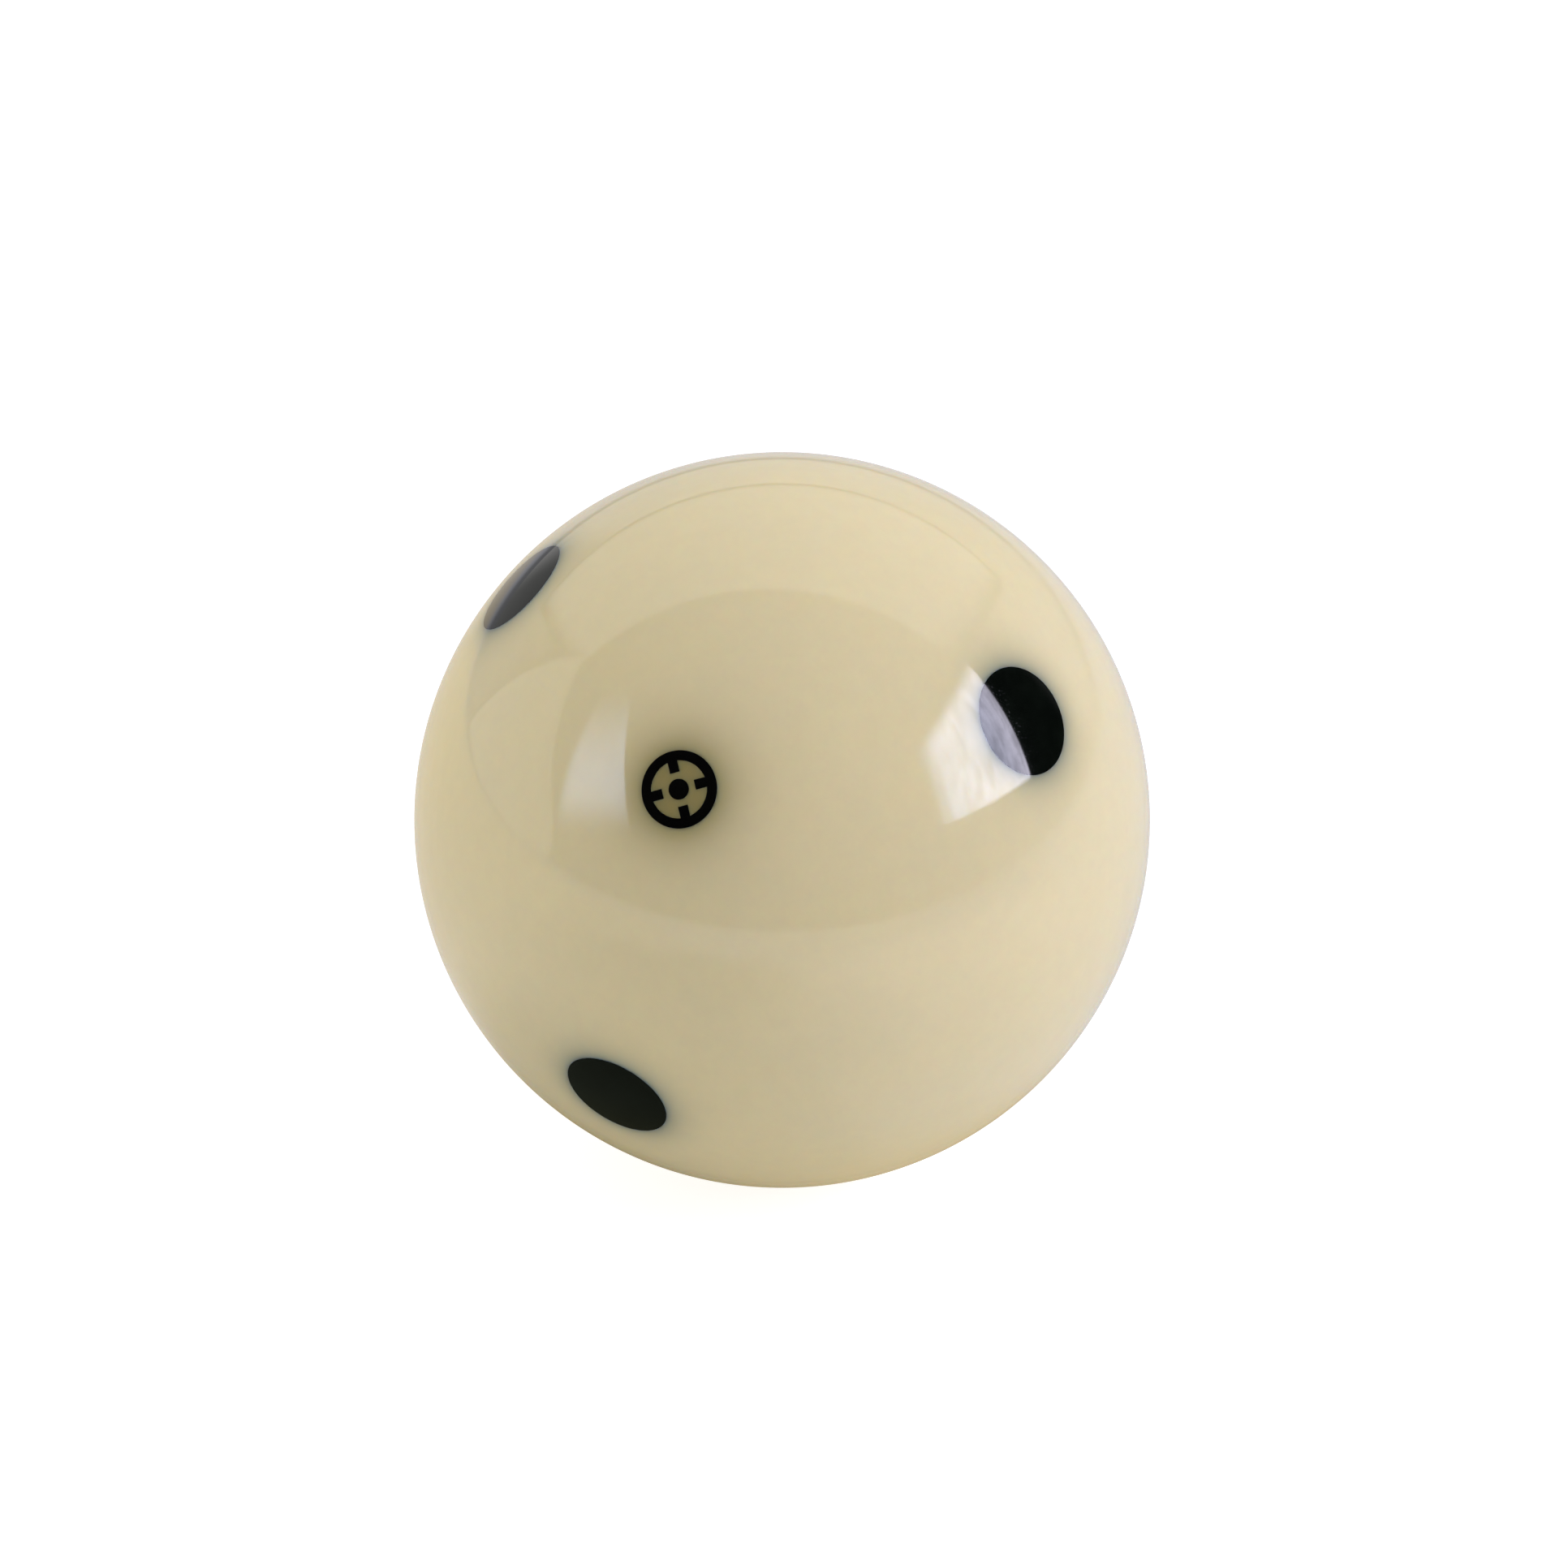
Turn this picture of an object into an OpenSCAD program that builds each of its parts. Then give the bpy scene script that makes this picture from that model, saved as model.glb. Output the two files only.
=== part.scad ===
// Six-spot practice cue ball.
// An ivory resin ball holds six round black plugs in three opposite pairs,
// and a small black aiming mark in the middle of one group of three plugs.
// Two of the pairs cross at right angles, and the third is set a few degrees
// off true. Every inlay is cast deep into the ball and ground flush with it.
// Sizes are in millimetres and degrees. The origin is the centre of the
// ball, and the ball rests on a flat bed below it, with +Z up and the mark
// towards -Y.

/* [Ball] */
// Diameter of the ball
ball_d = 57.15; // [50:0.05:62]

/* [Spots] */
// Diameter of a spot plug
spot_d = 8.2; // [5:0.1:12]
// Depth of a spot plug on its axis, from the ball's surface
plug_depth = 9; // [4:0.5:12]
// Width of the bevel round a plug's inner end
plug_bevel = 0.8; // [0.2:0.1:1.5]
// How far plugs 2 and 5 are set off true, round the mark's axis
pair_2_drift = -5; // [-8:0.5:8]

/* [Mark] */
// Outer diameter of the mark's ring
mark_d = 5.6; // [5:0.1:8]
// Width of the mark's lines
mark_line = 0.72; // [0.4:0.02:0.9]
// Length of each tick inside the ring
tick_len = 0.85; // [0.3:0.05:0.9]
// Diameter of the mark's centre dot
dot_d = 1.5; // [0.6:0.1:1.6]
// Depth of the mark's inlay, from the ball's surface
mark_depth = 2.5; // [0.5:0.1:4]

/* [Lie] */
// Turn of the mark from the front of the ball, towards its left
mark_turn = 18; // [-180:1:180]
// Height of the mark above the ball's equator
mark_lift = 33.5; // [-90:0.5:90]
// Turn of the mark and the spots about the mark's own axis
mark_roll = 24; // [-180:0.5:180]

/* [Hidden] */

ball_r = ball_d / 2;
spot_count = 6;
pair_count = 3;
pair_drift = [0, pair_2_drift, 0];
tick_count = 4;

// Angle between a cube's corner diagonal, where the mark lies, and the axis
// of each of the three faces that meet there, where the nearest plugs lie.
spot_polar = acos(1 / sqrt(3));

// How far a cutter or a blank stands out of the ball before it is trimmed.
proud = 1;

ivory = [0.86, 0.80, 0.65];
black = [0.05, 0.05, 0.06];

$fn = 180;

// The whole ball, before anything is let into it.
module sphere_blank() {
    sphere(d = ball_d);
}

// Turns a shape whose mark is at +Z into the way that the ball lies.
module in_lie() {
    rotate([90 - mark_lift, 0, -mark_turn])
        rotate([0, 0, mark_roll])
            children();
}

// Moves a shape whose outer end is at +Z to the axis of plug i. Plugs 1 to 3
// surround the mark, 120 degrees apart but for a pair's drift, and plugs 4
// to 6 are opposite them.
module at_spot(i) {
    near = i <= pair_count;
    about_mark = i * 120 + pair_drift[(i - 1) % pair_count];
    in_lie()
        rotate([0, near ? 0 : 180, about_mark])
            rotate([0, spot_polar, 0])
                children();
}

// A straight round slug with a bevelled inner end, and its outer end proud
// of the ball.
module slug() {
    foot = ball_r - plug_depth;
    translate([0, 0, foot])
        cylinder(h = plug_bevel, r1 = spot_d / 2 - plug_bevel, r2 = spot_d / 2);
    translate([0, 0, foot + plug_bevel])
        cylinder(h = plug_depth - plug_bevel + proud, d = spot_d);
}

// The mark's dot, proud of the ball.
module dot_blank() {
    translate([0, 0, ball_r - mark_depth])
        cylinder(h = mark_depth + proud, d = dot_d);
}

// One tick: a bar that starts inside the ring and points at its centre.
module tick() {
    ring_in = mark_d / 2 - mark_line;
    translate([ring_in - tick_len, -mark_line / 2, ball_r - mark_depth])
        cube([tick_len + mark_line / 2, mark_line, mark_depth + proud]);
}

// The mark's ring with its four ticks, proud of the ball.
module ring_blank() {
    translate([0, 0, ball_r - mark_depth])
        linear_extrude(mark_depth + proud)
            difference() {
                circle(d = mark_d);
                circle(d = mark_d - 2 * mark_line);
            }
    for (k = [0 : tick_count - 1])
        rotate([0, 0, k * 360 / tick_count]) tick();
}

// Ivory body: the ball less the sockets that the inlays fill.
module ball_body() {
    color(ivory)
        difference() {
            sphere_blank();
            for (i = [1 : spot_count]) at_spot(i) slug();
            in_lie() {
                ring_blank();
                dot_blank();
            }
        }
}

// Black plug i, ground flush with the ball.
module spot_plug(i) {
    color(black)
        intersection() {
            sphere_blank();
            at_spot(i) slug();
        }
}

// Black ring of the mark, ground flush with the ball.
module mark_ring() {
    color(black)
        intersection() {
            sphere_blank();
            in_lie() ring_blank();
        }
}

// Black dot in the middle of the mark, ground flush with the ball.
module mark_dot() {
    color(black)
        intersection() {
            sphere_blank();
            in_lie() dot_blank();
        }
}

ball_body();
for (i = [1 : spot_count])
    spot_plug(i);
mark_ring();
mark_dot();
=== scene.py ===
"""Six-spot practice cue ball: the finished looks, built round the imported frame.

The ball is turned from one block of translucent ivory resin. Six black resin plugs and a small
two-piece aiming mark are cast deep into it and polished flush. Every piece here is a closed mesh
worked out on a two-parameter grid, with its outer face on one exact sphere, so that reflections
cross from piece to piece without a break.

Two frames are used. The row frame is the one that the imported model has: its origin is the centre
of the ball, +Z is up from the bed. The spot frame has its three axes through plugs 1, 2 and 3 as
they would be if they were all true, so the ball's shape is the same in all eight of its octants,
but for the mark in the first one. Meshes are worked out in the spot frame, and then plugs 2 and 5
are moved with the ivory round them to where they are.
"""

from __future__ import annotations

import logging
import math
from dataclasses import dataclass, field
from enum import Enum

import bpy
import numpy as np
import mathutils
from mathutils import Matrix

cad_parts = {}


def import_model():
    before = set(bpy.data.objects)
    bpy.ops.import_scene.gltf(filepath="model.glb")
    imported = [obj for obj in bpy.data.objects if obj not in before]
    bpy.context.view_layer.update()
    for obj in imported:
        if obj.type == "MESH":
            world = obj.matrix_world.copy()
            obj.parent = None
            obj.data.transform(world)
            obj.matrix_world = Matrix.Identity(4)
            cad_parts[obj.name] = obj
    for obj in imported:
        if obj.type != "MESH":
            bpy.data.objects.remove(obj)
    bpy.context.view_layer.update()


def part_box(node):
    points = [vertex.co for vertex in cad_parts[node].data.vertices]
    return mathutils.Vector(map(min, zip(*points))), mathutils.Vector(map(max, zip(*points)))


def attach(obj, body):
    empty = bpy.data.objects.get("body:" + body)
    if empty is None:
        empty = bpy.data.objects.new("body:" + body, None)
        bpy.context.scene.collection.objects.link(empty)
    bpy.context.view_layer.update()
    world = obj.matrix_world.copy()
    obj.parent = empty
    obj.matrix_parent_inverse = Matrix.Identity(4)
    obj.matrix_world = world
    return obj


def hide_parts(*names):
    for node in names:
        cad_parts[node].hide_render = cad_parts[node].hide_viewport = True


LOG = logging.getLogger("cue_ball")
MM = 0.001
BODY = "root"
VIEW_RADII = 11.0  # the camera's distance, in radii of the ball

Colour = tuple[float, float, float]
Vector = tuple[float, float, float]


class Slot(Enum):
    """The record's material slots."""

    IVORY = "ivory_resin"
    SPOT = "spot_resin"
    MARK = "mark_resin"


# ---- How the ball lies ----


def turn_about(axis: int, degrees: float) -> np.ndarray:
    """Rotation matrix about one coordinate axis, by the right-hand rule.

    Args:
        axis: 0 for X, 1 for Y or 2 for Z.
        degrees: how far to turn.

    Returns:
        A 3 by 3 matrix that turns column vectors.
    """
    c, s = math.cos(math.radians(degrees)), math.sin(math.radians(degrees))
    matrix = np.eye(3)
    j, k = (axis + 1) % 3, (axis + 2) % 3
    matrix[j, j], matrix[j, k], matrix[k, j], matrix[k, k] = c, -s, s, c
    return matrix


@dataclass(frozen=True)
class Lie:
    """The way that the ball and its plugs lie: the same angles that place its sockets.

    Attributes:
        turn, lift, roll: place of the mark, and turn about its axis, in degrees.
        drift: how far plugs 2 and 5 are set off true, round the mark's axis, in degrees.
        rigid: how far from such a plug's axis the ivory moves with it as one, in degrees.
        still: how far from it the ivory doesn't move at all, in degrees.
    """

    turn: float = 18.0
    lift: float = 33.5
    roll: float = 24.0
    drift: float = -5.0
    rigid: float = 15.0
    still: float = 42.0

    @property
    def spot_polar(self) -> float:
        """Angle in degrees between a cube's corner diagonal and each of its three near axes."""
        return math.degrees(math.acos(1 / math.sqrt(3)))

    def mark_frame(self) -> np.ndarray:
        """Columns are the mark's own X and Y and its outward axis, in the row frame."""
        return turn_about(2, -self.turn) @ turn_about(0, 90 - self.lift) @ turn_about(2, self.roll)

    def spot_axes(self, drift: float) -> np.ndarray:
        """Columns are the outward axes of plugs 1, 2 and 3, in the row frame.

        Args:
            drift: how far plug 2 is set off true, in degrees.

        Returns:
            A 3 by 3 matrix with one axis in each column.
        """
        up = np.array([0.0, 0.0, 1.0])
        axes = [
            self.mark_frame() @ turn_about(2, 120 * i + off) @ turn_about(1, self.spot_polar) @ up
            for i, off in ((1, 0.0), (2, drift), (3, 0.0))
        ]
        return np.array(axes).T

    def place(self, points: np.ndarray) -> np.ndarray:
        """Takes points from the spot frame to their places in the row frame.

        Every point turns about the mark's axis k by an angle w d, with d the drift and w easing
        from 1 to 0 with the distance from the axis of plugs 2 and 5:
        p' = p cos(w d) + (k x p) sin(w d) + k (k . p) (1 - cos(w d)).

        Args:
            points: points in the spot frame, one in each row.

        Returns:
            The same points in the row frame.
        """
        k = np.ones(3) / math.sqrt(3)
        far = np.degrees(np.arccos(np.abs(points[:, 1]) / np.linalg.norm(points, axis=1)))
        u = np.clip((self.still - far) / (self.still - self.rigid), 0, 1)
        angle = (math.radians(self.drift) * u * u * (3 - 2 * u))[:, None]
        along = (points @ k)[:, None] * k
        turned = points * np.cos(angle) + np.cross(k, points) * np.sin(angle)
        return (turned + along * (1 - np.cos(angle))) @ self.spot_axes(0.0).T


# ---- Shells: closed meshes made of grids ----


def linked(name: str, data: bpy.types.ID) -> bpy.types.Object:
    """Makes an object of some data and links it to the scene.

    Args:
        name: name of the object.
        data: its mesh or camera.

    Returns:
        The new object.
    """
    made = bpy.data.objects.new(name, data)
    bpy.context.scene.collection.objects.link(made)
    return made


@dataclass
class Shell:
    """A closed surface put together from grids of points that share their border points.

    Attributes:
        radius: radius of the sphere that the outer grids lie on, in metres.
        weld: points closer together than about this are one point, in metres.
        crease: faces that meet at more than this angle meet in a sharp edge, in degrees.
    """

    radius: float
    weld: float = 1e-9
    crease: float = 20.0
    points: list[np.ndarray] = field(default_factory=list)
    faces: list[np.ndarray] = field(default_factory=list)
    outer: list[np.ndarray] = field(default_factory=list)
    count: int = 0

    def add(self, grid: np.ndarray, outer: bool, flip: bool = False) -> None:
        """Adds a grid whose last column joins its first.

        A face points along (row step) x (column step), or the other way if flip is true.

        Args:
            grid: points in the spot frame, shaped rows by columns by 3.
            outer: whether the grid is part of the ball's polished outer sphere.
            flip: whether to turn the faces round.
        """
        rows, columns = grid.shape[:2]
        index = self.count + np.arange(rows * columns).reshape(rows, columns)
        beside = np.roll(index, -1, axis=1)
        quads = np.stack([index[:-1], index[1:], beside[1:], beside[:-1]], axis=-1).reshape(-1, 4)
        self.points.append(grid.reshape(-1, 3))
        self.faces.append(quads[:, ::-1] if flip else quads)
        self.outer.append(np.full(len(quads), outer))
        self.count += rows * columns

    def piece(self, name: str, lie: Lie) -> bpy.types.Object:
        """Welds the grids into one mesh object, with its place in its mesh.

        Quads with two corners welded together become triangles, and ones with more are dropped.
        Faces on the outer sphere get that sphere's own normals, so they shine as a true sphere.

        Args:
            name: name of the object.
            lie: the way that the ball lies.

        Returns:
            The new object, linked to the scene.
        """
        stacked = np.concatenate(self.points)
        whole = np.round(stacked / self.weld) + 0.0
        _, first, same = np.unique(whole, axis=0, return_index=True, return_inverse=True)
        faces = same.reshape(-1)[np.concatenate(self.faces)]
        outer = np.concatenate(self.outer)
        doubled = faces == np.roll(faces, -1, axis=1)
        is_quad, is_triangle = doubled.sum(1) == 0, doubled.sum(1) == 1
        quads = faces[is_quad]
        triangles = faces[is_triangle][~doubled[is_triangle]].reshape(-1, 3)
        places = lie.place(stacked[first])

        mesh = bpy.data.meshes.new(name)
        mesh.from_pydata(places.tolist(), [], quads.tolist() + triangles.tolist())
        mesh.shade_smooth()
        mesh.set_sharp_from_angle(angle=math.radians(self.crease))
        corners = np.concatenate([quads.reshape(-1), triangles.reshape(-1)])
        on_sphere = np.concatenate([np.repeat(outer[is_quad], 4), np.repeat(outer[is_triangle], 3)])
        normals = np.where(on_sphere[:, None], places[corners] / self.radius, 0.0)
        mesh.normals_split_custom_set(normals.tolist())
        return linked(name, mesh)


def revolve(profile: np.ndarray, azimuth: np.ndarray) -> np.ndarray:
    """Turns a profile round the third axis: (r cos a, r sin a, z) for each point and angle.

    Args:
        profile: (r, z) points, from the outer end inwards.
        azimuth: angles in radians, counter-clockwise from the first axis.

    Returns:
        A grid with one row per profile point and one column per angle.
    """
    r, z = profile[:, :1], profile[:, 1:]
    return np.stack([r * np.cos(azimuth), r * np.sin(azimuth), z + 0 * azimuth], axis=-1)


def steps(*stretches: tuple[float, float, int]) -> np.ndarray:
    """Joins stretches of evenly spaced numbers, each (start, end, count) without its end."""
    return np.concatenate([np.linspace(a, b, n, endpoint=False) for a, b, n in stretches])


# ---- Spots ----


@dataclass(frozen=True)
class SpotPlug:
    """A straight round plug with a bevelled inner end and a cap that is part of the ball."""

    ball: float
    radius: float = 4.1 * MM
    depth: float = 9.0 * MM
    bevel: float = 0.8 * MM
    per_quarter: int = 24
    cap_rings: int = 14
    wall_rings: int = 5
    foot_rings: int = 3

    @property
    def polar(self) -> float:
        """Angle in radians from the plug's axis to its rim, seen from the ball's centre."""
        return math.asin(self.radius / self.ball)

    @property
    def azimuth(self) -> np.ndarray:
        """Angles of the rim's points, evenly spaced all round."""
        return np.linspace(0, math.tau, 4 * self.per_quarter, endpoint=False)

    def cap(self) -> np.ndarray:
        """The cap's profile: (R sin t, R cos t) from the axis, t = 0, out to the rim."""
        t = np.linspace(0, self.polar, self.cap_rings + 1)
        return self.ball * np.stack([np.sin(t), np.cos(t)], axis=-1)

    def shank(self) -> np.ndarray:
        """The profile below the rim: a straight wall, a 45 degree bevel and a flat foot.

        Returns:
            (r, z) points, from the rim down and in to the axis.
        """
        foot = self.ball - self.depth
        rim = self.ball * math.cos(self.polar)
        down = np.linspace(rim, foot + self.bevel, self.wall_rings + 1)
        inward = np.linspace(self.radius - self.bevel, 0, self.foot_rings + 1)
        return np.array([(self.radius, z) for z in down] + [(r, foot) for r in inward])

    def place(self, grid: np.ndarray, number: int) -> np.ndarray:
        """Moves a grid from the third axis to plug number 1 to 6, with 4 to 6 opposite 1 to 3."""
        side = 1 if number <= 3 else -1
        return side * np.roll(grid, number % 3, axis=-1)

    def build(self, number: int, lie: Lie) -> bpy.types.Object:
        """Makes one plug.

        Args:
            number: which plug, 1 to 6.
            lie: the way that the ball lies.

        Returns:
            The plug's object.
        """
        shell = Shell(self.ball)
        mirrored = number > 3
        for profile, outer in ((self.cap(), True), (self.shank(), False)):
            shell.add(self.place(revolve(profile, self.azimuth), number), outer, flip=mirrored)
        return shell.piece(f"spot_{number}_inlay", lie)


# ---- Aiming mark ----


@dataclass(frozen=True)
class AimingMark:
    """A ring with four ticks that point inwards, and a dot at its centre.

    All of its outlines are drawn flat, on the plane across the mark's axis, and carried straight
    down that axis. An outline has four equal quarters, and a quarter is mirrored about its
    middle, so half a quarter says it all: from the middle of a tick to the middle of a gap.

    Attributes:
        ball: radius of the ball.
        outer, line, tick, dot, depth: the ring's outer radius and line width, how far its ticks
            reach inwards, the dot's radius, and how deep they all go, in metres.
        end_points, side_points, gap_points: points on half a tick's end, on its side and on half
            a gap.
        rim_facing, dot_facing: where the ring's rim and the dot face the corners of a tick, as
            angles in degrees. The dot's are wide, so that no line to the ring crosses a tick.
        wall_rows, line_rows, gap_rows, dot_rows, floor_rows, pit_rows: rows of faces down a wall,
            across the line, between ring and dot, and across the dot, a groove and the pit.
    """

    ball: float
    outer: float = 2.8 * MM
    line: float = 0.72 * MM
    tick: float = 0.85 * MM
    dot: float = 0.75 * MM
    depth: float = 2.5 * MM
    end_points: int = 4
    side_points: int = 5
    gap_points: int = 18
    rim_facing: tuple[float, float] = (3.5, 7.0)
    dot_facing: tuple[float, float] = (30.0, 36.0)
    wall_rows: int = 4
    line_rows: int = 6
    gap_rows: int = 8
    dot_rows: int = 5
    floor_rows: int = 4
    pit_rows: int = 3

    @property
    def columns(self) -> int:
        """Points round an outline."""
        return 8 * (self.end_points + self.side_points + self.gap_points)

    @property
    def axes(self) -> np.ndarray:
        """The mark's X, which is towards plug 3, its Y and its outward axis, in the spot frame.

        Returns:
            A 3 by 3 matrix with one axis in each column.
        """
        out = np.ones(3) / math.sqrt(3)
        x = np.array([-1.0, -1.0, 2.0]) / math.sqrt(6)
        return np.stack([x, np.cross(out, x), out], axis=1)

    def all_round(self, half: np.ndarray) -> np.ndarray:
        """Angles of a whole outline, from those of half a quarter that ends short of 45.

        Args:
            half: angles in radians from the middle of a tick on.

        Returns:
            The angles in radians, all the way round.
        """
        mirrored = math.pi / 2 - half[:0:-1]
        quarter = np.concatenate([half, [math.pi / 4], mirrored])
        return np.concatenate([quarter + k * math.pi / 2 for k in range(4)])

    def spread(self, tick_end: float, tick_side: float) -> np.ndarray:
        """Angles round a circle that faces the ring's inner outline, point for point.

        Args:
            tick_end: angle in degrees that faces the corner at a tick's free end.
            tick_side: angle in degrees that faces the corner where a tick meets the ring.

        Returns:
            The angles in radians, one per outline point.
        """
        half = steps(
            (0, tick_end, self.end_points),
            (tick_end, tick_side, self.side_points),
            (tick_side, 45, self.gap_points),
        )
        return self.all_round(np.radians(half))

    def circle(self, radius: float, azimuth: np.ndarray) -> np.ndarray:
        """Flat (x, y) points on a circle about the mark's axis."""
        return radius * np.stack([np.cos(azimuth), np.sin(azimuth)], axis=-1)

    def teeth(self) -> np.ndarray:
        """Flat (x, y) points of the ring's inner outline: tick end, tick side, then the arc.

        Returns:
            The points, one in each row, counter-clockwise.
        """
        inner, half_line = self.outer - self.line, self.line / 2
        end = inner - self.tick
        root = math.asin(half_line / inner)
        across = steps((0, half_line, self.end_points))
        along = steps((end, inner * math.cos(root), self.side_points))
        round_arc = steps((root, math.pi / 4, self.gap_points))
        half = np.concatenate([
            np.stack([0 * across + end, across], axis=-1),
            np.stack([along, 0 * along + half_line], axis=-1),
            self.circle(inner, round_arc),
        ])
        middle = self.circle(inner, np.array([math.pi / 4]))
        mirrored = half[:0:-1, ::-1]
        quarter = np.concatenate([half, middle, mirrored])
        turns = [quarter]
        for _ in range(3):
            x, y = turns[-1].T
            turns.append(np.stack([-y, x], axis=-1))
        return np.concatenate(turns)

    def rim_azimuth(self) -> np.ndarray:
        """Angles of the points round the ring's outer edge."""
        return self.spread(*self.rim_facing)

    def dot_outline(self) -> np.ndarray:
        """Flat (x, y) points round the dot."""
        return self.circle(self.dot, self.spread(*self.dot_facing))

    def on_ball(self, flat: np.ndarray) -> np.ndarray:
        """Lifts flat points on to the ball: z = sqrt(R^2 - x^2 - y^2)."""
        z = np.sqrt(self.ball**2 - (flat**2).sum(-1, keepdims=True))
        return np.concatenate([flat, z], axis=-1)

    def at_foot(self, flat: np.ndarray) -> np.ndarray:
        """Lowers flat points to the mark's foot."""
        return np.concatenate([flat, 0 * flat[..., :1] + self.ball - self.depth], axis=-1)

    def between(self, start: np.ndarray, end: np.ndarray, rows: int) -> np.ndarray:
        """Rows of points along straight lines: (1 - u) start + u end, for u from 0 to 1."""
        u = np.linspace(0, 1, rows + 1)[:, None, None]
        return (1 - u) * start + u * end

    def wall(self, outline: np.ndarray) -> np.ndarray:
        """A wall from the ball's surface straight down to the foot."""
        return self.between(self.on_ball(outline), self.at_foot(outline), self.wall_rows)

    def turned(self, grid: np.ndarray) -> np.ndarray:
        """A grid taken from the mark's own axes into the spot frame."""
        return grid @ self.axes.T

    def let_into(self, shell: Shell) -> None:
        """Adds what the mark leaves of the ball inside the ring's outer edge.

        That is the groove's outer wall, its floor, its inner wall, the ivory between ring and
        dot, and the dot's pit. The faces point out of the ivory.

        Args:
            shell: the ball's shell, with a hole the size of the ring.
        """
        edge = self.circle(self.outer, self.rim_azimuth())
        teeth = self.teeth()
        dot = self.dot_outline()
        shell.add(self.turned(self.wall(edge)), False, flip=True)
        groove = self.at_foot(self.between(edge, teeth, self.floor_rows))
        pit = self.at_foot(self.between(dot, 0 * dot, self.pit_rows))
        shell.add(self.turned(groove), False, flip=True)
        shell.add(self.turned(self.wall(teeth)), False)
        shell.add(self.turned(self.on_ball(self.between(dot, teeth, self.gap_rows))), True)
        shell.add(self.turned(self.wall(dot)), False, flip=True)
        shell.add(self.turned(pit), False, flip=True)

    def build_ring(self, lie: Lie) -> bpy.types.Object:
        """Makes the ring with its ticks, as a closed piece.

        Args:
            lie: the way that the ball lies.

        Returns:
            The ring's object.
        """
        edge, teeth = self.circle(self.outer, self.rim_azimuth()), self.teeth()
        shell = Shell(self.ball)
        shell.add(self.turned(self.on_ball(self.between(teeth, edge, self.line_rows))), True)
        shell.add(self.turned(self.wall(edge)), False)
        shell.add(self.turned(self.wall(teeth)), False, flip=True)
        shell.add(self.turned(self.at_foot(self.between(edge, teeth, self.floor_rows))), False)
        return shell.piece("mark_ring_inlay", lie)

    def build_dot(self, lie: Lie) -> bpy.types.Object:
        """Makes the centre dot, as a closed piece.

        Args:
            lie: the way that the ball lies.

        Returns:
            The dot's object.
        """
        dot = self.dot_outline()
        shell = Shell(self.ball)
        shell.add(self.turned(self.on_ball(self.between(0 * dot, dot, self.dot_rows))), True)
        shell.add(self.turned(self.wall(dot)), False)
        shell.add(self.turned(self.at_foot(self.between(dot, 0 * dot, self.pit_rows))), False)
        return shell.piece("mark_dot_inlay", lie)


# ---- Ivory body ----


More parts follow.
